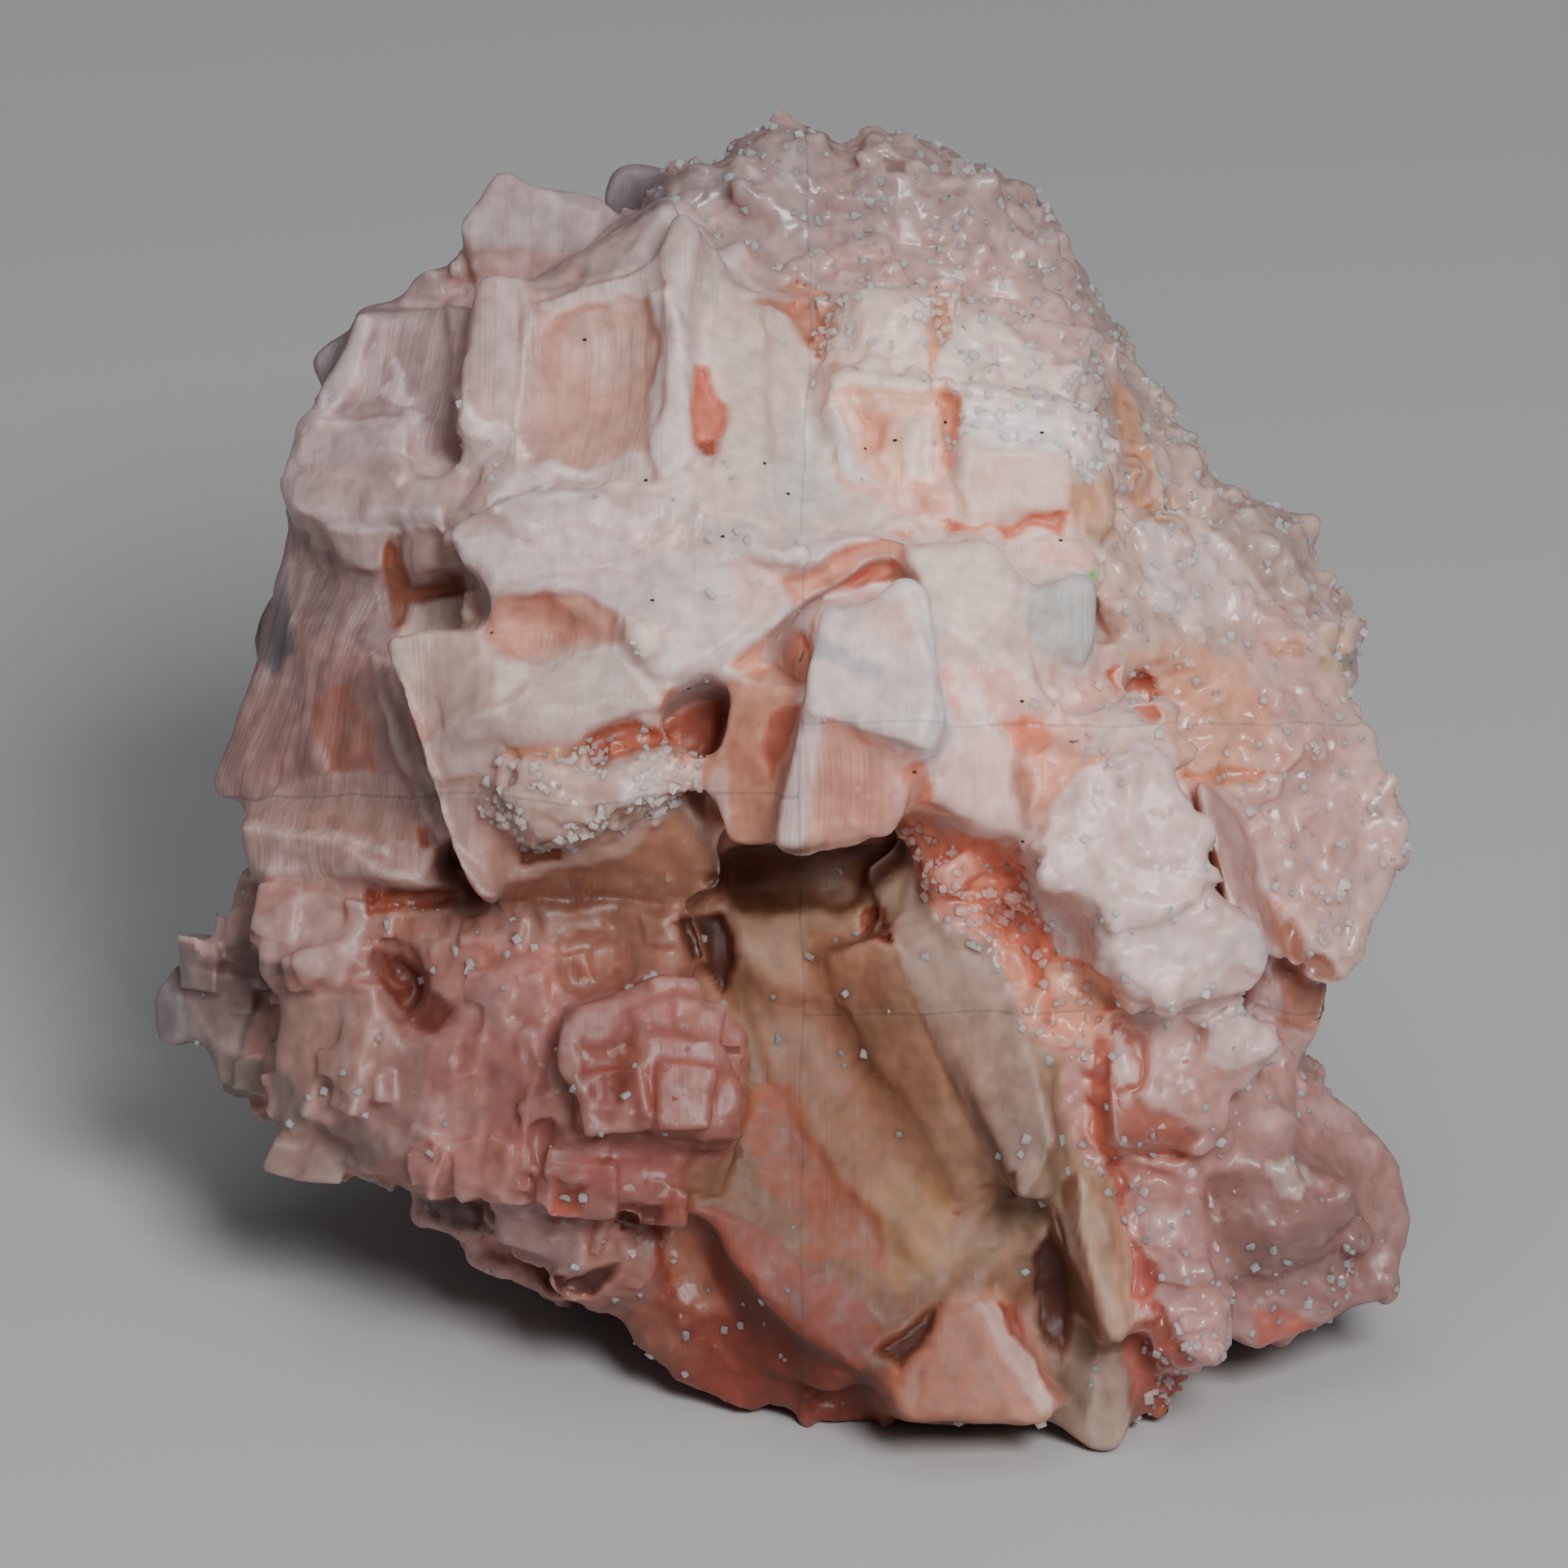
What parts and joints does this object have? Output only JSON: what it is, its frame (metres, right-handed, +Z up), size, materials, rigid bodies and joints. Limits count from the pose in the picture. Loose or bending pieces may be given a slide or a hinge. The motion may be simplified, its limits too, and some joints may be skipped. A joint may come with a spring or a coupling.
{
  "type": "halite cluster",
  "caption": "Hand-sized cluster of intergrown pink halite: hopper crystals, plates and granular crusts in one loose mass that rests on its flattened underside.",
  "frame": {"origin": "centre of the box of the cluster, at the bottom, on the surface that it rests on", "axes": "+Z up, +X to the right of someone facing the best face, and the best face looks to -Y and leans back by about 25 degrees"},
  "size_m": [0.0975, 0.0835, 0.0861],
  "materials": {
    "pink_halite": "waxy, milky and translucent, with sugary crusts and clay-tan faces"
  },
  "bodies": {
    "root": {"halite_cluster": "pink_halite"}
  },
  "joints": []
}
